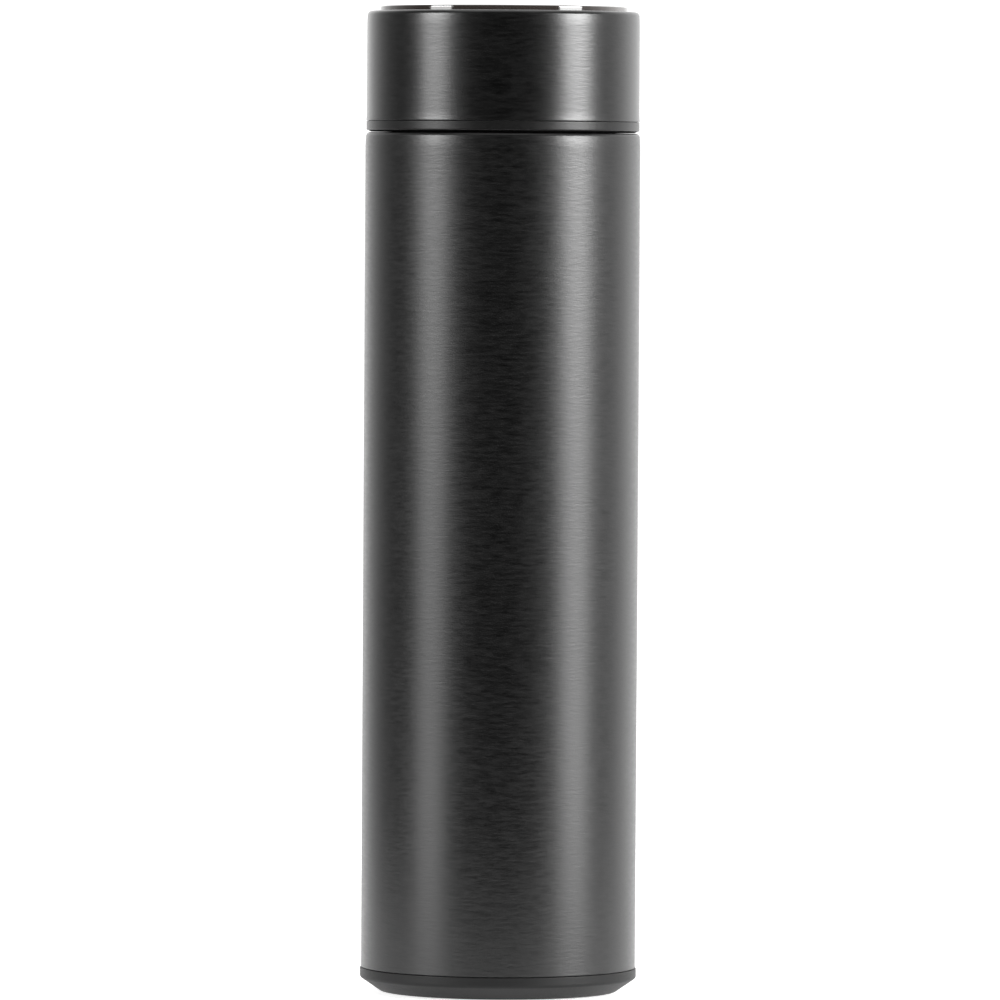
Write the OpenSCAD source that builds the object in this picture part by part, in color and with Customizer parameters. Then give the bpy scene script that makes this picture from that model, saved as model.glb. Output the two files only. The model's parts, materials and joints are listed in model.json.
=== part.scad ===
// Vacuum flask with a screw lid that carries a temperature display.
// The origin is at the middle of the foot, on the surface that the flask stands on, with +Z up.
// The lid turns anticlockwise, seen from above, and rises on a right-hand thread.

/* [Flask] */
// Outer diameter of the steel flask
body_d = 65; // [64:0.5:70]
// Height of the shoulder above the standing surface
shoulder_z = 203.3; // [160:0.1:260]
// Thickness of the steel walls
wall = 0.4; // [0.3:0.05:0.6]
// Space between the two steel walls
vacuum_gap = 3.1; // [2.6:0.1:3.6]
// Radius of the shoulder's outer edge
shoulder_round = 1; // [0.6:0.1:2]

/* [Neck] */
// Outer radius of the neck below the thread's crest
neck_r = 25; // [24.5:0.1:25.2]
// Height of the rim above the shoulder
neck_h = 16.2; // [15:0.1:18]
// Radius of the mouth above the seal's seat
mouth_r = 22.5; // [22:0.1:22.6]
// Radius of the throat below the seal's seat
throat_r = 21; // [20.9:0.1:21.2]
// Rise of the thread in one turn
thread_lead = 4; // [3.8:0.1:4.4]
// How far the thread stands out of the neck
thread_depth = 1.3; // [1:0.1:1.4]

/* [Base] */
// Height of the base cover's seam with the flask
base_h = 5.9; // [5:0.1:9]
// How far the base cover stands out beyond the flask
base_proud = 0.23; // [0:0.01:0.5]
// Width of the base cover's chamfer
chamfer_w = 4.7; // [2:0.1:6]
// Height of the base cover's chamfer
chamfer_h = 3.2; // [1.5:0.1:3.5]
// How far the foot pad stands below the base cover
pad_proud = 0.3; // [0.1:0.1:0.8]

/* [Lid] */
// Outer diameter of the lid
lid_d = 64.5; // [64:0.1:69.5]
// Height of the lid's sleeve and trim together
lid_h = 28.15; // [28:0.05:34]
// Gap between the lid and the shoulder
lid_gap = 0.5; // [0.4:0.1:1.2]
// Height of the trim ring that shows under the sleeve
trim_h = 2.2; // [1.5:0.1:4]
// Radius of the sleeve's top edge
lid_round = 1.2; // [0.6:0.1:2]

/* [Display] */
// Outer radius of the glossy bezel
bezel_r = 29.4; // [29.2:0.1:29.6]
// How far the bezel stands above the sleeve
bezel_proud = 1.15; // [0.6:0.05:2]
// Radius of the domed lens
lens_r = 24.65; // [24:0.05:24.7]
// Height of the lens's dome above the bezel
dome_h = 1.65; // [0.5:0.05:2.5]

/* [Hidden] */
$fn = 96;
eps = 0.01;
arc_steps = 6;

// Flask, seen in section: radii and heights
body_r = body_d / 2;
shell_in = body_r - wall;
liner_out = shell_in - vacuum_gap;
liner_in = liner_out - wall;
rim_z = shoulder_z + neck_h;
weld_z = rim_z - 1.4;
seat_z = shoulder_z + 6.2;
seat_drop = mouth_r - throat_r;
neck_fillet = 0.8;
thread_z = shoulder_z + 4;

// Base, from the foot up
pad_r = 24.5;
pad_h = 1.5;
base_r = body_r + base_proud;
base_floor = 1.8;
spigot_h = 4.8;
bottom_rim_z = base_h + spigot_h + 0.3;
bottom_top_z = bottom_rim_z + 3.4;
exhaust_r = 1.2;
dimple_r = 4;
dimple_h = 1.2;
liner_floor_z = bottom_top_z + 2.4;
liner_corner = 6;
liner_join_z = liner_floor_z + liner_corner;

// Lid, from the trim ring up
lid_r = lid_d / 2;
trim_z = shoulder_z + lid_gap;
sleeve_z = trim_z + trim_h + 0.1;
sleeve_top = trim_z + lid_h;
skirt_out = 29.4;
skirt_in = neck_r + 1.6;
deck_z = rim_z + 0.4;
deck_h = 1.1;
tray_z = deck_z + deck_h;
plug_z = seat_z - seat_drop - 0.3;
flange_r = throat_r - 0.6;
groove_r = throat_r - 1.7;
plug_r = mouth_r - 0.9;
cavity_r = groove_r - 1.5;
seal_z = seat_z - 0.3;
seal_h = 2.5;
rib_count = 12;

// Display and electronics, from the tray up
bezel_top = sleeve_top + bezel_proud;
lens_z = bezel_top - 1.3;
tape_h = 0.2;
ledge_z = lens_z - tape_h;
skirt_joint_z = tray_z + 5;
board_r = 24;
board_h = 1;
board_z = tray_z + 6.3;
board_top = board_z + board_h;
boss_at = 21.5;
boss_angles = [90, 210, 330];
cell_r = 12.25;
cell_h = 5;
cell_x = -6;
tray_h = 0.9;
cell_z = tray_z + tray_h;
lead_x = 13.6;
sensor_hole = 7;
bead_h = 2.8;

// Points on an arc about (x, z) of radius r, from angle a to angle b
function arc(x, z, r, a, b) = [for (i = [0:arc_steps]) let (t = a + (b - a) * i / arc_steps)
    [x + r * cos(t), z + r * sin(t)]];

function flip(path) = [for (i = [len(path) - 1:-1:0]) path[i]];

// A turned piece with the section given by its outline
module turned(outline) {
    rotate_extrude() polygon(outline);
}

// A turned sheet piece between an outer path and the same path set in by the wall
module turned_sheet(outer, inner) {
    turned(concat(outer, flip(inner)));
}

// A flat ring from radius inner to radius outer
module ring(inner, outer, z, h) {
    translate([0, 0, z]) difference() {
        cylinder(r = outer, h = h);
        translate([0, 0, -1]) cylinder(r = inner, h = h + 2);
    }
}

module ring_of(count, radius) {
    for (i = [0:count - 1]) rotate(360 * i / count) translate([radius, 0, 0]) children();
}

// Section of a thread ridge at turn angle t, where e is its height as a share of the full height
function ridge_section(root, crest, z, t, e, base_w, crest_w) = let (r = root + (crest - root) * e)
    [for (p = [[root, -base_w / 2], [r, -crest_w / 2], [r, crest_w / 2], [root, base_w / 2]])
        [p[0] * cos(t), p[0] * sin(t), z + p[1]]];

// Faces that join the sections of a sweep, with sides points in each, and close its two ends
function sweep_faces(sections, sides) = concat(
    [[for (k = [sides - 1:-1:0]) k]],
    [for (i = [0:sections - 2], k = [0:sides - 1]) let (a = i * sides, b = a + sides, n = (k + 1) % sides)
        [a + n, b + n, b + k, a + k]],
    [[for (k = [0:sides - 1]) (sections - 1) * sides + k]]
);

// A helical thread ridge on the helix that passes base_z at angle 0. It starts at start_angle, and
// rises out of the wall over its first and last run_out degrees.
// A crest outside the root makes an outside thread, and a crest inside it an inside thread.
module thread_ridge(root, crest, base_z, start_angle, turns) {
    run_out = 40;
    per_turn = 48;
    sink = 0.03;
    n = round(turns * per_turn);
    span = 360 * turns;
    points = [for (i = [0:n]) let (
            turned = span * i / n,
            rise = max(sink, min(1, turned / run_out, (span - turned) / run_out)),
            a = start_angle + turned
        ) each ridge_section(root, crest, base_z + thread_lead * a / 360, a, rise, 2.4, 1)];
    faces = sweep_faces(n + 1, 4);
    polyhedron(points, crest > root ? faces : [for (f = faces) flip(f)]);
}

// A round wire along a route that lies in a plane of constant y
module flat_wire(route, y, r) {
    sides = 8;
    n = len(route);
    dirs = [for (i = [0:n - 1]) let (d = route[min(i + 1, n - 1)] - route[max(i - 1, 0)]) d / norm(d)];
    points = [for (i = [0:n - 1], k = [0:sides - 1]) let (a = 360 * k / sides, d = dirs[i])
        [route[i][0] - d[1] * r * cos(a), y + r * sin(a), route[i][1] + d[0] * r * cos(a)]];
    polyhedron(points, sweep_faces(n, sides));
}

module base_pad() {
    grooves = [7, 12, 17];
    color([0.16, 0.16, 0.16]) difference() {
        cylinder(r = pad_r, h = pad_h);
        for (r = grooves) ring(r, r + 1.6, -0.4, 0.8);
    }
}

module base_cover() {
    r_in = shell_in - 1.6;
    floor_z = pad_h + base_floor;
    color([0.2, 0.2, 0.2]) {
        turned(concat(
            [[0, pad_h], [pad_r + 0.2, pad_h], [pad_r + 0.2, pad_proud]],
            arc(base_r - chamfer_w - 0.4, pad_proud + 0.4, 0.4, -90, -60),
            arc(base_r - 0.9, pad_proud + chamfer_h + 0.5, 0.9, -60, 0),
            [[base_r, base_h - 0.25], [base_r - 0.15, base_h - 0.1], [shell_in - 0.1, base_h - 0.1],
             [shell_in - 0.1, base_h + spigot_h], [r_in, base_h + spigot_h],
             [r_in, floor_z + 1], [r_in - 1, floor_z], [0, floor_z]]
        ));
        ring_of(8, 0) translate([8, -0.5, floor_z - eps]) cube([r_in - 8.5, 1, 4]);
    }
}

// Pressed steel disc that closes the shell, with a dimple round the exhaust hole
module outer_bottom() {
    function path(t) = concat(
        [[shell_in - 0.05 - t, bottom_rim_z]],
        arc(shell_in - 2.05, bottom_top_z - 2, 2 - t, 0, 90),
        [[dimple_r + 2, bottom_top_z - t], [dimple_r, bottom_top_z - dimple_h - t],
         [exhaust_r, bottom_top_z - dimple_h - t]]
    );
    color([0.62, 0.62, 0.6]) turned_sheet(path(0), path(wall));
}

// Braze that plugs the exhaust hole
module vacuum_seal() {
    z = bottom_top_z - dimple_h - wall;
    color([0.55, 0.5, 0.4]) turned(concat(
        [[0, z - 0.6]],
        arc(1.6, z - 0.35, 0.35, -60, 90),
        [[exhaust_r - 0.03, z], [exhaust_r - 0.03, z + wall], [0, z + wall]]
    ));
}

module getter() {
    color([0.35, 0.35, 0.36]) translate([16, 0, bottom_top_z]) {
        cylinder(r = 4, h = 1.2);
        translate([0, 0, 1.2 - eps]) cylinder(r = 3, h = 0.4);
    }
}

// Outer steel wall with its shoulder and its threaded neck
module outer_shell() {
    function path(t) = concat(
        [[body_r - t, base_h]],
        arc(body_r - shoulder_round, shoulder_z - shoulder_round, shoulder_round - t, 0, 90),
        arc(neck_r + neck_fillet, shoulder_z + neck_fillet, neck_fillet + t, 270, 180),
        [[neck_r - t, weld_z]]
    );
    color([0.1, 0.1, 0.1]) union() {
        turned_sheet(path(0), path(wall));
        thread_ridge(neck_r - wall / 2, neck_r + thread_depth, thread_z, 0, 1.75);
    }
}

// Copper foil round the liner that holds back radiant heat
module radiation_foil() {
    color([0.72, 0.45, 0.3]) ring(liner_out + 0.1, liner_out + 0.16, liner_join_z + 4,
        shoulder_z - 20 - liner_join_z);
}

module liner_bottom() {
    function path(t) = concat(
        [[liner_out - t, liner_join_z]],
        arc(liner_out - liner_corner, liner_join_z, liner_corner - t, 0, -90),
        [[16, liner_floor_z + t], [9, liner_floor_z + 0.5 + t], [0, liner_floor_z + 0.7 + t]]
    );
    color([0.68, 0.68, 0.67]) turned_sheet(path(0), path(wall));
}

// Inner steel wall: a straight tube, a shoulder, the throat, the seal's seat and the rolled rim
module inner_liner() {
    big = 8;
    small = 3;
    lean = 55;
    start_z = shoulder_z - 13.3;
    lip = rim_z - 0.8;
    arc_r = liner_in - big + big * cos(lean);
    arc_z = start_z + big * sin(lean);
    end_r = throat_r + small - small * cos(lean);
    throat_z = arc_z + (arc_r - end_r) / tan(lean) + small * sin(lean);
    mitre = tan(22.5);
    function path(t) = concat(
        [[liner_in + t, liner_join_z]],
        arc(liner_in - big, start_z, big + t, 0, lean),
        arc(throat_r + small, throat_z, small - t, 180 + lean, 180),
        [[throat_r + t, seat_z - seat_drop - t * mitre], [mouth_r + t, seat_z - t * mitre]],
        arc(mouth_r + 1, lip - 0.2, 1 - t, 180, 90),
        arc(neck_r - 0.8, lip, 0.8 - t, 90, 0),
        [[neck_r - t, weld_z]]
    );
    color([0.7, 0.7, 0.69]) turned_sheet(path(wall), path(0));
}

// Silicone ring in the plug's groove, that presses on the seat in the neck
module lid_seal() {
    r_in = groove_r + 0.1;
    r_out = mouth_r - 0.2;
    color([0.85, 0.85, 0.83]) turned([
        [r_in, seal_z + 0.1], [r_out - 0.35, seal_z + 0.1], [r_out, seal_z + 0.45],
        [r_out, seal_z + 0.95], [r_out - 0.5, seal_z + 1.3], [r_out, seal_z + 1.65],
        [r_out, seal_z + 2.25], [r_out - 0.35, seal_z + seal_h], [r_in, seal_z + seal_h]
    ]);
}

// Moulded inner cap: threaded skirt, deck, plug with the seal's groove, and the wall that holds the bezel
module inner_cap() {
    groove_top = seal_z + seal_h + 0.1;
    color([0.13, 0.13, 0.13]) union() {
        turned([
            [sensor_hole, plug_z], [flange_r - 0.4, plug_z], [flange_r, plug_z + 0.4],
            [flange_r, seal_z], [groove_r, seal_z], [groove_r, groove_top], [plug_r, groove_top],
            [plug_r, deck_z], [skirt_in, deck_z], [skirt_in, trim_z + 0.2], [skirt_in + 0.5, trim_z - 0.3],
            [skirt_out, trim_z - 0.3], [skirt_out, tray_z], [29.2, tray_z], [29.2, skirt_joint_z],
            [27.5, skirt_joint_z], [27.5, tray_z], [cavity_r, tray_z], [cavity_r, plug_z + 1.5],
            [sensor_hole, plug_z + 1.5]
        ]);
        ring_of(rib_count, skirt_out) translate([-0.5, -0.6, trim_z + 8]) cube([lid_r - wall - skirt_out + 0.4, 1.2,
            tray_z - trim_z - 8]);
        thread_ridge(skirt_in + 0.3, neck_r + 0.35, thread_z - thread_lead / 2, 60, 1.25);
    }
}

// Steel cup in the plug's floor, that carries the drink's heat to the thermistor
module sensor_plate() {
    z = plug_z - wall;
    r = sensor_hole - 0.2;
    color([0.75, 0.75, 0.74]) turned([
        [0, z - 0.3], [3, z - 0.2], [5.5, z], [8.4, z], [8.4, plug_z], [r, plug_z], [r, plug_z + 3],
        [r - wall, plug_z + 3], [r - wall, plug_z], [3, plug_z - 0.2], [0, plug_z - 0.3]
    ]);
}

module sensor_gasket() {
    color([0.8, 0.8, 0.78]) ring(sensor_hole - 0.15, sensor_hole + 1.6, plug_z + 1.5, 1.3);
}

module thermistor() {
    r = 1.3;
    color([0.1, 0.1, 0.1]) translate([0, 0, plug_z - 0.25])
        turned([[0, 0], [r, 0], [r, bead_h - 0.6], [r - 0.35, bead_h], [0, bead_h]]);
}

// Two insulated wires from the thermistor, through the foam and the tray, up to the board
module sensor_leads() {
    z = deck_z;
    start_z = plug_z - 0.25 + bead_h;
    route = [[0, start_z], [0, z - 6], [0.1, z - 3], [0.6, z - 1.3], [2, z - 0.1], [4, z + 0.25], [8, z + 0.3],
        [11.5, z + 0.5], [13.2, z + 1.7], [lead_x, z + 3.6], [lead_x, board_z]];
    color([0.7, 0.1, 0.1]) flat_wire(route, 0.5, 0.4);
    color([0.1, 0.1, 0.1]) flat_wire(route, -0.5, 0.4);
}

module foam_plug() {
    z = plug_z + 3.3;
    color([0.93, 0.93, 0.92]) ring(3, cavity_r - 0.3, z, deck_z - 0.5 - z);
}

// Tray that holds the coin cell, with three bosses for the board's screws
module component_tray() {
    pilot_r = 0.8;
    color([0.82, 0.82, 0.8]) difference() {
        union() {
            translate([0, 0, tray_z]) cylinder(r = 27.3, h = tray_h);
            translate([cell_x, 0, tray_z]) ring(cell_r + 0.55, cell_r + 1.6, tray_h - eps, 2.6);
            for (a = boss_angles) rotate(a) translate([boss_at, 0, tray_z]) cylinder(r = 2.4, h = board_z - tray_z);
        }
        for (a = boss_angles) rotate(a) translate([boss_at, 0, tray_z + 1]) cylinder(r = pilot_r, h = 8);
        translate([lead_x - 4, -1.4, tray_z - 1]) cube([5.4, 2.8, 5]);
    }
}

module battery() {
    color([0.75, 0.75, 0.76]) translate([cell_x, 0, cell_z]) {
        cylinder(r = cell_r, h = cell_h - 0.4);
        translate([0, 0, cell_h - 0.4 - eps]) cylinder(r = cell_r - 1.4, h = 0.4 + eps);
    }
}

// Nickel strip from the side of the cell's can up to the board
module battery_tab_positive() {
    color([0.8, 0.8, 0.78]) translate([cell_x - cell_r - 0.22, -2, cell_z + 0.4]) cube([0.2, 4, board_z - cell_z - 0.4]);
}

// Nickel strip from the cell's cap to the board
module battery_tab_negative() {
    z = cell_z + cell_h;
    color([0.8, 0.8, 0.78]) {
        translate([cell_x, -2, z]) cube([16, 4, 0.15]);
        translate([cell_x + 15, -2, z + 0.1]) cube([1, 4, board_z - z - 0.1]);
    }
}

module circuit_board() {
    color([0.05, 0.3, 0.15]) translate([0, 0, board_z]) difference() {
        cylinder(r = board_r, h = board_h);
        for (a = boss_angles) rotate(a) translate([boss_at, 0, -1]) cylinder(r = 1.1, h = board_h + 2);
        for (y = [-board_r, board_r - 1]) translate([8, y, -1]) cube([4, 3, board_h + 2]);
    }
}

// Chip with three flat pins on each long side
module controller_chip() {
    color([0.08, 0.08, 0.08]) translate([-7, -13.5, board_top + 0.15]) cube([5, 4, 1.4]);
    color([0.75, 0.75, 0.74]) for (x = [-6.2, -4.7, -3.2], y = [-14.3, -9.55])
        translate([x, y, board_top]) cube([0.4, 0.85, 0.3]);
}

// Small surface parts on the board, two rows of them
module board_components() {
    color([0.6, 0.5, 0.35]) for (x = [2:3:14], y = [-13, -10.5])
        translate([x, y, board_top]) cube([1.6, 0.8, 0.6]);
}

// Three-digit display block: each digit is seven bars set in its top face
module display_module() {
    size = [26, 13, ledge_z - board_top - 0.4];
    bar_l = 3.2;
    bar_w = 0.7;
    top = board_top + size[2] - 0.25;
    color([0.1, 0.1, 0.11]) difference() {
        translate([-size[0] / 2, -size[1] / 2, board_top]) cube(size);
        for (x = [-7.5, 0, 7.5]) translate([x, 0, top]) {
            for (y = [-bar_l - 0.5, 0, bar_l + 0.5]) translate([-bar_l / 2, y - bar_w / 2, 0]) cube([bar_l, bar_w, 1]);
            for (side = [-1, 1], y = [-1, 1])
                translate([side * 2.15 - bar_w / 2, y * 1.85 - bar_l / 2, 0]) cube([bar_w, bar_l, 1]);
        }
    }
}

// Coil spring that couples a fingertip on the lens to the board
module touch_spring() {
    turns = 4;
    per_turn = 16;
    sides = 6;
    wire_r = 0.25;
    coil_r = 2.4;
    z = board_top + wire_r;
    rise = lens_z - 0.05 - wire_r - z;
    n = turns * per_turn;
    points = [for (i = [0:n], k = [0:sides - 1]) let (a = 360 * i / per_turn, b = 360 * k / sides,
        r = coil_r + wire_r * cos(b)) [r * cos(a), r * sin(a), z + rise * i / n + wire_r * sin(b)]];
    color([0.8, 0.75, 0.55]) translate([0, 14, 0]) polyhedron(points, sweep_faces(n + 1, sides));
}

// Three pan-head screws with a cross recess
module board_screws() {
    head_h = 1.3;
    color([0.7, 0.7, 0.72]) for (a = boss_angles) rotate(a) translate([boss_at, 0, board_top]) difference() {
        union() {
            translate([0, 0, -5]) cylinder(r = 0.78, h = 5 + eps);
            cylinder(r = 1.9, h = head_h);
        }
        for (turn = [0, 90]) rotate(turn) translate([-1.1, -0.2, head_h - 0.6]) cube([2.2, 0.4, 1]);
    }
}

// Trim ring that closes the lid's lower edge, with a lip close above the shoulder
module lid_trim() {
    lip_r = lid_r - 1.75;
    bore_r = skirt_out + 0.1;
    upstand_r = lid_r - wall - 0.1;
    edge = 0.8;
    color([0.17, 0.17, 0.17]) turned(concat(
        [[lid_r - 0.15, sleeve_z - 0.1], [lid_r, sleeve_z - 0.25]],
        arc(lid_r - edge, trim_z + edge, edge, 0, -90),
        [[lip_r, trim_z], [lip_r, shoulder_z + 0.15], [bore_r, shoulder_z + 0.15], [bore_r, sleeve_z + 5],
         [upstand_r - 0.3, sleeve_z + 5], [upstand_r, sleeve_z + 4.5], [upstand_r, sleeve_z - 0.1]]
    ));
}

// Steel sleeve round the lid, with its top edge rolled in to the bezel
module lid_shell() {
    function path(t) = concat(
        [[lid_r - t, sleeve_z]],
        arc(lid_r - lid_round, sleeve_top - lid_round, lid_round - t, 0, 90),
        [[bezel_r + 0.2, sleeve_top - t]]
    );
    color([0.1, 0.1, 0.1]) turned_sheet(path(0), path(wall));
}

// Glossy ring that stands out of the sleeve, with a ledge for the lens
module bezel_ring() {
    edge = 0.35;
    ledge_r = 22.6;
    under_z = ledge_z - 0.7;
    color([0.05, 0.05, 0.05]) turned(concat(
        [[ledge_r, under_z], [27.4, under_z], [27.4, skirt_joint_z], [29.2, skirt_joint_z],
         [29.2, sleeve_top - wall - 0.3], [bezel_r, sleeve_top - wall - 0.1]],
        arc(bezel_r - edge, bezel_top - edge, edge, 0, 90),
        [[lens_r + 0.35, bezel_top], [lens_r + 0.15, bezel_top - 0.2], [lens_r + 0.15, ledge_z], [ledge_r, ledge_z]]
    ));
}

module lens_tape() {
    color([0.9, 0.9, 0.88]) ring(22.8, lens_r - 0.15, ledge_z, tape_h);
}

// Smoked lens: a disc with a shallow dome, flush with the bezel at its edge
module display_lens() {
    dome_r = (lens_r * lens_r + dome_h * dome_h) / (2 * dome_h);
    centre_z = bezel_top + dome_h - dome_r;
    color([0.06, 0.06, 0.07]) turned(concat(
        [[0, lens_z], [lens_r, lens_z]],
        arc(0, centre_z, dome_r, acos(lens_r / dome_r), 90)
    ));
}

base_pad();
base_cover();
outer_bottom();
vacuum_seal();
getter();
outer_shell();
radiation_foil();
liner_bottom();
inner_liner();
lid_seal();
inner_cap();
sensor_plate();
sensor_gasket();
thermistor();
sensor_leads();
foam_plug();
component_tray();
battery();
battery_tab_positive();
battery_tab_negative();
circuit_board();
controller_chip();
board_components();
display_module();
touch_spring();
board_screws();
lid_trim();
lid_shell();
bezel_ring();
lens_tape();
display_lens();
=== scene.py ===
"""Looks of a slim vacuum flask with a display lid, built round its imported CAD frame.

Each visible piece is a turned mesh with rounded edges that stands for its CAD node. Sizes are in
millimetres until a mesh is made, and come from the CAD boxes.
"""

import json
import math

import bpy
from mathutils import Matrix, Quaternion, Vector


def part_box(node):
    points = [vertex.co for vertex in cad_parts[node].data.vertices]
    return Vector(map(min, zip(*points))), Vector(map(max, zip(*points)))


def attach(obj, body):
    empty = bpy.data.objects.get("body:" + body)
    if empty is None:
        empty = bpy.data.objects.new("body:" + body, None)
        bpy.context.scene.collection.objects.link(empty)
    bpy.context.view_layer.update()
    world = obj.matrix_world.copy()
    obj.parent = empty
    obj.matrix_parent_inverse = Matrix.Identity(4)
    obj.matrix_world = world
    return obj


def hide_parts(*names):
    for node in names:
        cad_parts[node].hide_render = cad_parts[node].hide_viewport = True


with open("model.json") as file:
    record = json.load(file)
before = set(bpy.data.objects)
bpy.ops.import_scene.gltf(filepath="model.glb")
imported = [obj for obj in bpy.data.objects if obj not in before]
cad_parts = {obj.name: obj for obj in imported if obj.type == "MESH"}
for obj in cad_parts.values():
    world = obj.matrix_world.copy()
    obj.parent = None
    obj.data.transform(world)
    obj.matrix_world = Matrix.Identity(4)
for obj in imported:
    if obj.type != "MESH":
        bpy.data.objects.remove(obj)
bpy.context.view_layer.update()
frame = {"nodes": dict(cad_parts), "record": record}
record = frame["record"]
MM = 0.001
BODY_OF = {node: body for body, nodes in record["behaviour"]["bodies"].items() for node in nodes}


def low(node):
    """Lowest height of a CAD node, in mm."""
    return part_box(node)[0].z / MM


def top(node):
    """Greatest height of a CAD node, in mm."""
    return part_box(node)[1].z / MM


def radius(node):
    """Outer radius of a turned CAD node, in mm."""
    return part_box(node)[1].x / MM


# ---------------------------------------------------------------- sizes

WALL = 0.4
TRIM_CLEARANCE = 0.15  # between the trim's inner ring and the shoulder
TRIM_LIP_H = 0.35  # how far that ring hangs below the trim
CHAMFER_W, CHAMFER_TOP = 4.7, 3.5
SHOULDER_BEND, SLEEVE_BEND, SLEEVE_FLARE = 0.12, 0.08, 0.07
body_r = radius("outer_shell")
base_r = radius("base_cover")
seam_z = low("outer_shell")
shoulder_z = low("lid_trim") - TRIM_CLEARANCE
rim_z = top("inner_liner")
weld_z = rim_z - 1.4
neck_r = 25.0
lid_r = radius("lid_shell")
trim_z = low("lid_trim") + TRIM_LIP_H
sleeve_z = low("lid_shell")
sleeve_top = top("lid_shell")
bezel_r = radius("bezel_ring")
bezel_top = top("bezel_ring")
lens_r = radius("display_lens")
lens_z = low("display_lens")
dome_top = top("display_lens")
pad_r = radius("base_pad")
pad_h = top("base_pad")

THREAD_LEAD = 4.0
THREAD_Z = shoulder_z + 4.0
SEGMENTS = 192

# ---------------------------------------------------------------- outlines and meshes


def rounded(corners, step=12.0):
    """Rounds the corners (r, z, rounding) of a closed outline. Long sides get a point close to each end,
    so that the shading of a rounded edge stays off the flat beside it."""
    count = len(corners)
    points = []
    for i in range(count):
        here = Vector(corners[i][:2])
        to_last = Vector(corners[i - 1][:2]) - here
        to_next = Vector(corners[(i + 1) % count][:2]) - here
        between = to_last.angle(to_next, math.pi)
        size = corners[i][2] if len(corners[i]) > 2 else 0.0
        turn = math.pi - between
        if size <= 0 or turn < 0.01:
            points.append(here)
            continue
        reach = min(size * math.tan(turn / 2), 0.8 * to_last.length, 0.8 * to_next.length)
        size = reach / math.tan(turn / 2)
        start = here + to_last.normalized() * reach
        end = here + to_next.normalized() * reach
        inwards = (to_last.normalized() + to_next.normalized()).normalized()
        middle = here + inwards * (size / math.cos(turn / 2))
        steps = max(3, math.ceil(math.degrees(turn) / step))
        spin = (start - middle).angle_signed(end - middle)
        for k in range(steps + 1):
            arm = start - middle
            arm.rotate(Matrix.Rotation(-spin * k / steps, 2))
            points.append(middle + arm)
    return with_ends(points)


def with_ends(points, gap=0.12):
    """Adds a point close to each end of every long side."""
    out = []
    for here, there in zip(points, points[1:] + points[:1]):
        out.append(here)
        side = there - here
        if side.length > 5 * gap:
            out.append(here + side.normalized() * gap)
            out.append(there - side.normalized() * gap)
    return out


def eased(r_start, z_start, r_end, z_end, steps=8):
    """Corners of a wall that starts upright and bends gently to another radius."""
    shares = [k / steps for k in range(steps + 1)]
    return [(r_start + (r_end - r_start) * t * t, z_start + (z_end - z_start) * t) for t in shares]


def finely(points, z_low, z_high, step):
    """Splits the sides that lie between two heights into short steps, for a thread to be raised on them."""
    out = []
    for here, there in zip(points, points[1:] + points[:1]):
        out.append(here)
        if min(here.y, there.y) >= z_low and max(here.y, there.y) <= z_high:
            parts = math.ceil((there - here).length / step)
            out += [here.lerp(there, k / parts) for k in range(1, parts)]
    return out


def turned(name, points, raised=None, segments=SEGMENTS):
    """A mesh turned about Z from a closed outline. raised(r, z, angle) may give another radius."""
    vertices, rings = [], []
    for p in points:
        if p.x < 1e-6:
            rings.append([len(vertices)] * segments)
            vertices.append((0, 0, p.y * MM))
            continue
        rings.append(range(len(vertices), len(vertices) + segments))
        for k in range(segments):
            a = 2 * math.pi * k / segments
            r = raised(p.x, p.y, a) if raised else p.x
            vertices.append((r * math.cos(a) * MM, r * math.sin(a) * MM, p.y * MM))
    faces = []
    for one, two in zip(rings, rings[1:] + rings[:1]):
        for k in range(segments):
            n = (k + 1) % segments
            corner = list(dict.fromkeys((one[k], one[n], two[n], two[k])))
            if len(corner) > 2:
                faces.append(corner)
    mesh = bpy.data.meshes.new(name)
    area = sum(a.x * b.y - b.x * a.y for a, b in zip(points, points[1:] + points[:1]))
    mesh.from_pydata(vertices, [], faces if area > 0 else [f[::-1] for f in faces])
    mesh.validate()
    mesh.shade_smooth()
    piece = bpy.data.objects.new(name, mesh)
    bpy.context.scene.collection.objects.link(piece)
    return piece


def ridge(z, angle, base_z, start, turns):
    """Height from 0 to 1 of a thread ridge at this place on the wall."""
    flat, foot, run_out = 0.5, 1.2, math.radians(40)
    best = 0.0
    for lap in range(3):
        turned_by = angle + 2 * math.pi * lap - start
        if 0 <= turned_by <= 2 * math.pi * turns:
            away = abs(z - base_z - THREAD_LEAD * (turned_by + start) / (2 * math.pi))
            side = min(1.0, max(0.0, (foot - away) / (foot - flat)))
            end = min(1.0, turned_by / run_out, (2 * math.pi * turns - turned_by) / run_out)
            best = max(best, side * side * (3 - 2 * side) * end)
    return best


def stands_for(piece, node, look):
    """The piece takes the place of a CAD node, rides on its body and has this material."""
    piece.data.materials.append(look)
    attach(piece, BODY_OF[node])
    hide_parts(node)
    return piece


# ---------------------------------------------------------------- materials


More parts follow.
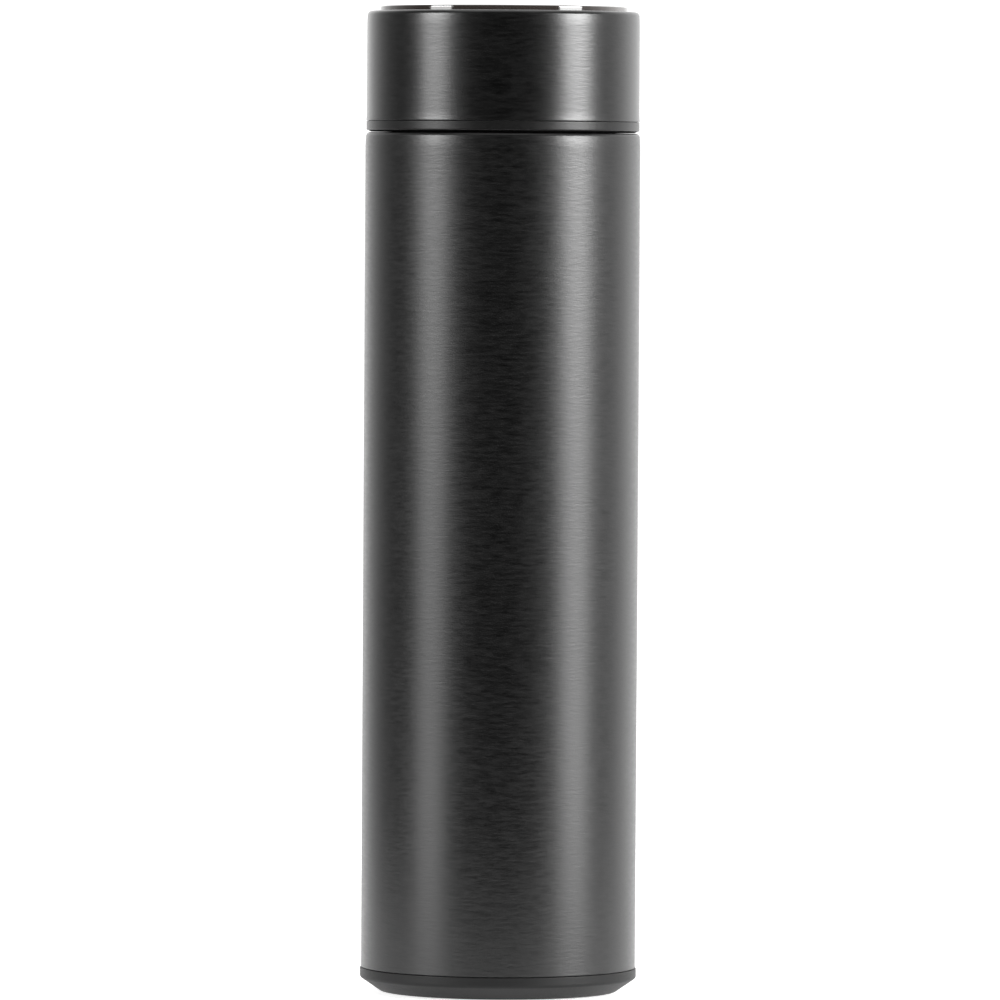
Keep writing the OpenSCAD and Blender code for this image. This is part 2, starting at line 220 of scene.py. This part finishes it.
def surface(name, color, roughness, grain, vary, bump, smudge=0.0, **fixed):
    """A procedural finish. grain is the pattern's frequency per metre along X, Y and Z, and bump its height
    in metres. color varies by the share vary, and roughness is a (least, most) pair. smudge adds a
    broad change to the roughness, and fixed holds values that are the same all over."""
    look = bpy.data.materials.new(name)
    look.use_nodes = True
    nodes, links = look.node_tree.nodes, look.node_tree.links
    shader = nodes["Principled BSDF"]
    place = nodes.new("ShaderNodeTexCoord")
    stretch = nodes.new("ShaderNodeMapping")
    stretch.inputs["Scale"].default_value = grain
    links.new(place.outputs["Object"], stretch.inputs["Vector"])
    noise = nodes.new("ShaderNodeTexNoise")
    noise.inputs["Scale"].default_value = 1.0
    noise.inputs["Detail"].default_value = 3.0
    noise.inputs["Roughness"].default_value = 0.6
    links.new(stretch.outputs["Vector"], noise.inputs["Vector"])

    ramp = nodes.new("ShaderNodeValToRGB")
    ramp.color_ramp.elements[0].position = 0.3
    ramp.color_ramp.elements[1].position = 0.7
    ramp.color_ramp.elements[0].color = (*[c * (1 - vary) for c in color], 1)
    ramp.color_ramp.elements[1].color = (*[c * (1 + vary) for c in color], 1)
    links.new(noise.outputs["Fac"], ramp.inputs["Fac"])
    links.new(ramp.outputs["Color"], shader.inputs["Base Color"])

    span = nodes.new("ShaderNodeMapRange")
    span.inputs["From Min"].default_value = 0.3
    span.inputs["From Max"].default_value = 0.7
    span.inputs["To Min"].default_value, span.inputs["To Max"].default_value = roughness
    links.new(noise.outputs["Fac"], span.inputs["Value"])
    rough = span.outputs["Result"]
    if smudge:
        broad = nodes.new("ShaderNodeTexNoise")
        broad.inputs["Scale"].default_value = 28.0
        broad.inputs["Detail"].default_value = 2.0
        links.new(place.outputs["Object"], broad.inputs["Vector"])
        add = nodes.new("ShaderNodeMath")
        add.operation = "MULTIPLY_ADD"
        add.inputs[1].default_value = smudge
        links.new(broad.outputs["Fac"], add.inputs[0])
        links.new(rough, add.inputs[2])
        rough = add.outputs["Value"]
    links.new(rough, shader.inputs["Roughness"])
    if bump:
        relief = nodes.new("ShaderNodeBump")
        relief.inputs["Strength"].default_value = 1.0
        relief.inputs["Distance"].default_value = bump
        links.new(noise.outputs["Fac"], relief.inputs["Height"])
        links.new(relief.outputs["Normal"], shader.inputs["Normal"])
    for socket, value in fixed.items():
        shader.inputs[socket.replace("_", " ")].default_value = value
    return look


def metal(*finish):
    """A bare metal finish, with the same values as surface."""
    return surface(*finish, Metallic=1.0)


ROUND_LINES = (300, 300, 1600)
FINE = (2200, 2200, 2200)
BLACK = (0.0035, 0.0035, 0.0035)

coating = surface("black_coating", BLACK, (0.31, 0.37), ROUND_LINES, 0.9, 0.000034, smudge=0.02)
lid_coating = surface("lid_coating", BLACK, (0.28, 0.3), ROUND_LINES, 0.9, 0.000026, smudge=0.02)
trim_plastic = surface("trim_plastic", (0.007, 0.007, 0.007), (0.33, 0.41), FINE, 0.2, 0.00001, IOR=1.38)
base_plastic = surface("base_plastic", (0.005, 0.005, 0.005), (0.45, 0.55), FINE, 0.2, 0.00001, IOR=1.33)
cap_plastic = surface("cap_plastic", (0.02, 0.02, 0.02), (0.34, 0.44), FINE, 0.15, 0.000003, smudge=0.05)
bezel_gloss = surface("bezel_gloss", (0.04, 0.033, 0.03), (0.05, 0.08), FINE, 0.1, 0.0, IOR=1.95)
lens_gloss = surface(
    "lens_gloss", (0.006, 0.006, 0.0065), (0.03, 0.05), FINE, 0.1, 0.0, smudge=0.02, Coat_Weight=0.5
)
liner_steel = metal("liner_steel", (0.52, 0.51, 0.49), (0.2, 0.32), (25, 25, 2600), 0.1, 0.000002)
pressed_steel = metal("pressed_steel", (0.5, 0.49, 0.47), (0.24, 0.36), (600, 600, 600), 0.1, 0.000002)
silicone = surface("seal_silicone", (0.62, 0.62, 0.6), (0.42, 0.55), FINE, 0.04, 0.000003)
pad_rubber = surface("pad_silicone", (0.016, 0.016, 0.016), (0.6, 0.75), FINE, 0.2, 0.000006)

# ---------------------------------------------------------------- the flask


def male_thread(r, z, angle):
    """Raises the neck's outer face into its thread."""
    outside = r > neck_r - 0.05
    return r + 1.3 * ridge(z, angle, THREAD_Z, 0.0, 1.75) if outside and z > shoulder_z + 1.5 else r


shoulder_bend = eased(body_r, shoulder_z - 3.8, body_r - SHOULDER_BEND, shoulder_z - 1.1)
shell = rounded([(body_r, seam_z, 0.12)] + shoulder_bend + [
    (body_r - 0.2, shoulder_z, 0.95), (neck_r, shoulder_z, 0.8), (neck_r, weld_z),
    (neck_r - WALL, weld_z), (neck_r - WALL, shoulder_z - WALL, 1.2),
    (body_r - WALL, shoulder_z - WALL, 0.6), (body_r - WALL, seam_z, 0.12),
])
shell = finely(shell, shoulder_z + 0.5, weld_z, 0.13)
stands_for(turned("outer_shell_finish", shell, male_thread), "outer_shell", coating)

chamfer_in = base_r - CHAMFER_W
cover = rounded([
    (0, pad_h), (pad_r + 0.2, pad_h, 0.1), (pad_r + 0.2, 0.3, 0.15), (chamfer_in, 0.3, 0.5),
    (base_r, CHAMFER_TOP, 0.9), (base_r, seam_z - 0.1, 0.18), (body_r - 0.45, seam_z - 0.1, 0.05),
    (body_r - 0.5, seam_z + 4.8, 0.3), (body_r - 2.0, seam_z + 4.8, 0.3),
    (body_r - 2.0, pad_h + 1.8, 0.6), (0, pad_h + 1.8),
])
stands_for(turned("base_cover_finish", cover), "base_cover", base_plastic)

grooves = []
for inner in (17.0, 12.0, 7.0):
    grooves += [(inner + 1.6, 0, 0.15), (inner + 1.5, 0.4, 0.1), (inner + 0.1, 0.4, 0.1), (inner, 0, 0.15)]
pad = rounded([(0, pad_h), (pad_r, pad_h, 0.1), (pad_r, 0, 0.3)] + grooves + [(0, 0)])
stands_for(turned("base_pad_finish", pad), "base_pad", pad_rubber)

# ---------------------------------------------------------------- the lid

trim = rounded([
    (lid_r, sleeve_z - 0.1, 0.16), (lid_r, trim_z, 0.35), (lid_r - 0.4, trim_z, 0.1),
    (lid_r - 1.1, trim_z - TRIM_LIP_H, 0.1), (29.5, trim_z - TRIM_LIP_H, 0.1), (29.5, sleeve_z + 5, 0.2),
    (lid_r - WALL - 0.1, sleeve_z + 5, 0.4), (lid_r - WALL - 0.1, sleeve_z - 0.1, 0.05),
])
stands_for(turned("lid_trim_finish", trim), "lid_trim", trim_plastic)

sleeve_r = lid_r - 0.02
flare = eased(sleeve_r, sleeve_z + 2.4, sleeve_r + SLEEVE_FLARE, sleeve_z + 0.2)[::-1]
sleeve_bend = eased(sleeve_r, sleeve_top - 3.6, sleeve_r - SLEEVE_BEND, sleeve_top - 1.3)
sleeve = rounded([(sleeve_r + SLEEVE_FLARE, sleeve_z, 0.1)] + flare + sleeve_bend + [
    (lid_r - 0.15, sleeve_top, 1.15), (bezel_r + 0.2, sleeve_top, 0.12),
    (bezel_r + 0.2, sleeve_top - WALL, 0.12), (lid_r - WALL, sleeve_top - WALL, 0.8),
    (lid_r - WALL, sleeve_z, 0.12),
])
stands_for(turned("lid_sleeve_finish", sleeve), "lid_shell", lid_coating)

bezel = rounded([
    (22.6, lens_z - 0.9, 0.1), (27.4, lens_z - 0.9, 0.1),
    (27.4, low("bezel_ring"), 0.1), (29.2, low("bezel_ring"), 0.1),
    (29.2, sleeve_top - WALL - 0.2), (bezel_r, sleeve_top - WALL - 0.1), (bezel_r, bezel_top, 0.35),
    (lens_r + 0.15, bezel_top, 0.2), (lens_r + 0.15, lens_z - 0.2, 0.05), (22.6, lens_z - 0.2, 0.1),
])
stands_for(turned("bezel_finish", bezel), "bezel_ring", bezel_gloss)

dome_r = (lens_r**2 + (dome_top - bezel_top) ** 2) / (2 * (dome_top - bezel_top))
dome_tilt = math.asin(lens_r / dome_r)
dome = [
    (dome_r * math.sin(dome_tilt * k / 24), dome_top - dome_r * (1 - math.cos(dome_tilt * k / 24)))
    for k in range(24, -1, -1)
]
dome[-1] = (0, dome_top)
lens = rounded([(0, lens_z), (lens_r, lens_z, 0.1), (*dome[0], 0.15)] + dome[1:])
stands_for(turned("lens_finish", lens), "display_lens", lens_gloss)

# ---------------------------------------------------------------- the CAD nodes that stay

copper = metal("copper_foil", (0.7, 0.36, 0.21), (0.16, 0.34), (90, 90, 90), 0.1, 0.0003)
foam = surface("white_foam", (0.78, 0.78, 0.75), (0.85, 0.95), (1600, 1600, 1600), 0.08, 0.0002)
nickel = metal("nickel_strip", (0.6, 0.57, 0.52), (0.25, 0.36), (300, 2600, 300), 0.08, 0.000004)
cell_can = metal("cell_can", (0.62, 0.61, 0.6), (0.2, 0.3), (120, 2400, 120), 0.06, 0.000003)
zinc = metal("screw_steel", (0.48, 0.48, 0.47), (0.3, 0.42), FINE, 0.1, 0.000004)

kept = {
    "outer_bottom": pressed_steel, "liner_bottom": liner_steel, "inner_liner": liner_steel,
    "lid_seal": silicone, "sensor_gasket": silicone, "inner_cap": cap_plastic, "sensor_plate": pressed_steel,
    "radiation_foil": copper, "foam_plug": foam, "battery": cell_can,
    "battery_tab_positive": nickel, "battery_tab_negative": nickel, "board_screws": zinc,
    "touch_spring": metal("spring_wire", (0.6, 0.6, 0.58), (0.18, 0.28), FINE, 0.05, 0.000003),
    "getter": metal("getter_alloy", (0.26, 0.25, 0.24), (0.5, 0.7), (3000, 3000, 3000), 0.25, 0.00005),
    "vacuum_seal": metal("braze", (0.6, 0.53, 0.4), (0.25, 0.45), (700, 700, 700), 0.15, 0.00004),
    "lens_tape": surface("white_tape", (0.74, 0.74, 0.7), (0.55, 0.7), FINE, 0.05, 0.00001),
    "component_tray": surface("tray_plastic", (0.045, 0.045, 0.047), (0.45, 0.56), FINE, 0.15, 0.00001),
    "circuit_board": surface("board_laminate", (0.012, 0.1, 0.035), (0.3, 0.42), (900,) * 3, 0.2, 0.00001),
    "controller_chip": surface("chip_epoxy", (0.014, 0.014, 0.015), (0.5, 0.62), FINE, 0.2, 0.00001),
    "board_components": surface("component_ceramic", (0.4, 0.31, 0.2), (0.4, 0.55), FINE, 0.1, 0.000005),
    "display_module": surface("display_plastic", (0.022, 0.022, 0.023), (0.32, 0.44), FINE, 0.15, 0.000005),
    "thermistor": surface("probe_epoxy", (0.025, 0.035, 0.07), (0.3, 0.42), FINE, 0.15, 0.00001),
    "sensor_leads": surface("wire_jacket", (0.42, 0.025, 0.02), (0.4, 0.5), FINE, 0.1, 0.000005),
}
for node, look in kept.items():
    for holder in frame["nodes"][node].material_slots:
        holder.material = look

# ---------------------------------------------------------------- floor, lights and camera


def sheet(name, corners, look):
    """A flat four-sided floor."""
    mesh = bpy.data.meshes.new(name)
    mesh.from_pydata([(x, y, 0) for x, y in corners], [], [(0, 1, 2, 3)])
    piece = bpy.data.objects.new(name, mesh)
    piece.data.materials.append(look)
    bpy.context.scene.collection.objects.link(piece)
    return piece


def softbox(name, azimuth, distance, width, z_low, z_high, radiance):
    """A tall soft light that faces the flask. azimuth is in degrees from the camera's side, towards +X."""
    a = math.radians(azimuth)
    lamp = bpy.data.lights.new(name, "AREA")
    lamp.shape = "RECTANGLE"
    lamp.size, lamp.size_y = width, z_high - z_low
    lamp.energy = radiance * math.pi * width * (z_high - z_low)
    light = bpy.data.objects.new(name, lamp)
    light.location = (distance * math.sin(a), -distance * math.cos(a), (z_low + z_high) / 2)
    light.rotation_euler = (math.pi / 2, 0, a)
    light.visible_camera = False
    bpy.context.scene.collection.objects.link(light)
    return light


floor_look = bpy.data.materials.new("pale_floor")
floor_look.use_nodes = True
floor_shader = floor_look.node_tree.nodes["Principled BSDF"]
floor_shader.inputs["Base Color"].default_value = (0.82, 0.82, 0.82, 1)
floor_shader.inputs["Roughness"].default_value = 0.9
floor_shader.inputs["Specular IOR Level"].default_value = 0.1
floor_shader.inputs["Emission Color"].default_value = (1, 1, 1, 1)
floor_shader.inputs["Emission Strength"].default_value = 0.7
sheet("floor", [(-0.24, -0.155), (0.24, -0.155), (8, 60), (-8, 60)], floor_look)

# The room is white behind the flask and dark in front. The camera itself sees white all round.
BACK_AZIMUTH = math.radians(165)
FRONT_GLOW = 0.015
ROOM_GLOW = (
    (0.35, 0.02), (0.45, 0.15), (0.56, 0.35), (0.66, 0.65), (0.76, 1.1),
    (0.87, 1.7), (0.93, 2.0), (0.98, 1.8), (1.0, 1.8),
)
world = bpy.data.worlds.new("studio")
bpy.context.scene.world = world
world.use_nodes = True
world_nodes, world_links = world.node_tree.nodes, world.node_tree.links
direction = world_nodes.new("ShaderNodeTexCoord")
facing = world_nodes.new("ShaderNodeVectorMath")
facing.operation = "DOT_PRODUCT"
facing.inputs[1].default_value = (math.sin(BACK_AZIMUTH), -math.cos(BACK_AZIMUTH), 0)
world_links.new(direction.outputs["Generated"], facing.inputs[0])
half = world_nodes.new("ShaderNodeMapRange")
half.inputs["From Min"].default_value = -1.0
world_links.new(facing.outputs["Value"], half.inputs["Value"])
fall = world_nodes.new("ShaderNodeValToRGB")
fall.color_ramp.interpolation = "EASE"
world_links.new(half.outputs["Result"], fall.inputs["Fac"])
fall.color_ramp.elements.remove(fall.color_ramp.elements[1])
fall.color_ramp.elements[0].position = 0.0
fall.color_ramp.elements[0].color = (FRONT_GLOW, FRONT_GLOW, FRONT_GLOW, 1)
for position, value in ROOM_GLOW:
    fall.color_ramp.elements.new(position).color = (value, value, value, 1)
backdrop = world_nodes.new("ShaderNodeBackground")
backdrop.inputs["Color"].default_value = (1, 1, 1, 1)
backdrop.inputs["Strength"].default_value = 1.2
room = world_nodes["Background"]
world_links.new(fall.outputs["Color"], room.inputs["Color"])
ray = world_nodes.new("ShaderNodeLightPath")
either = world_nodes.new("ShaderNodeMixShader")
world_links.new(ray.outputs["Is Camera Ray"], either.inputs["Fac"])
world_links.new(room.outputs["Background"], either.inputs[1])
world_links.new(backdrop.outputs["Background"], either.inputs[2])
world_links.new(either.outputs["Shader"], world_nodes["World Output"].inputs["Surface"])

softbox("left_high", -59.6, 1.2, 0.46, 0.3, 0.7, 19.0)
softbox("left_low", -59.6, 1.2, 0.46, -0.2, 0.3, 4.8)
softbox("right_high", 64.6, 1.2, 0.50, 0.3, 0.66, 35.5)
softbox("right_low", 64.6, 1.2, 0.50, -0.2, 0.3, 7.5)

OVERHEAD_RADIANCE = 1.2
overhead = bpy.data.lights.new("overhead", "AREA")
overhead.shape, overhead.size = "SQUARE", 3.0
overhead.energy = OVERHEAD_RADIANCE * math.pi * overhead.size**2
lamp = bpy.data.objects.new("overhead", overhead)
lamp.location = (0, 0, 2.6)
lamp.visible_camera = False
bpy.context.scene.collection.objects.link(lamp)

CAMERA_X, CAMERA_D, CAMERA_Z, AIM_Z, ROLL = -0.00017, 2.32, 0.193, 0.1165, 0.35
camera_data = bpy.data.cameras.new("camera")
camera_data.lens = 353.1
camera_data.clip_end = 60
camera = bpy.data.objects.new("camera", camera_data)
camera.location = (CAMERA_X, -CAMERA_D, CAMERA_Z)
aim = Vector((CAMERA_X, 0, AIM_Z)) - camera.location
camera.rotation_mode = "QUATERNION"
look_at = aim.to_track_quat("-Z", "Y")
camera.rotation_quaternion = Quaternion(aim, math.radians(-ROLL)) @ look_at
bpy.context.scene.collection.objects.link(camera)
bpy.context.scene.camera = camera
bpy.context.scene.view_settings.view_transform = "Standard"

bpy.context.view_layer.update()
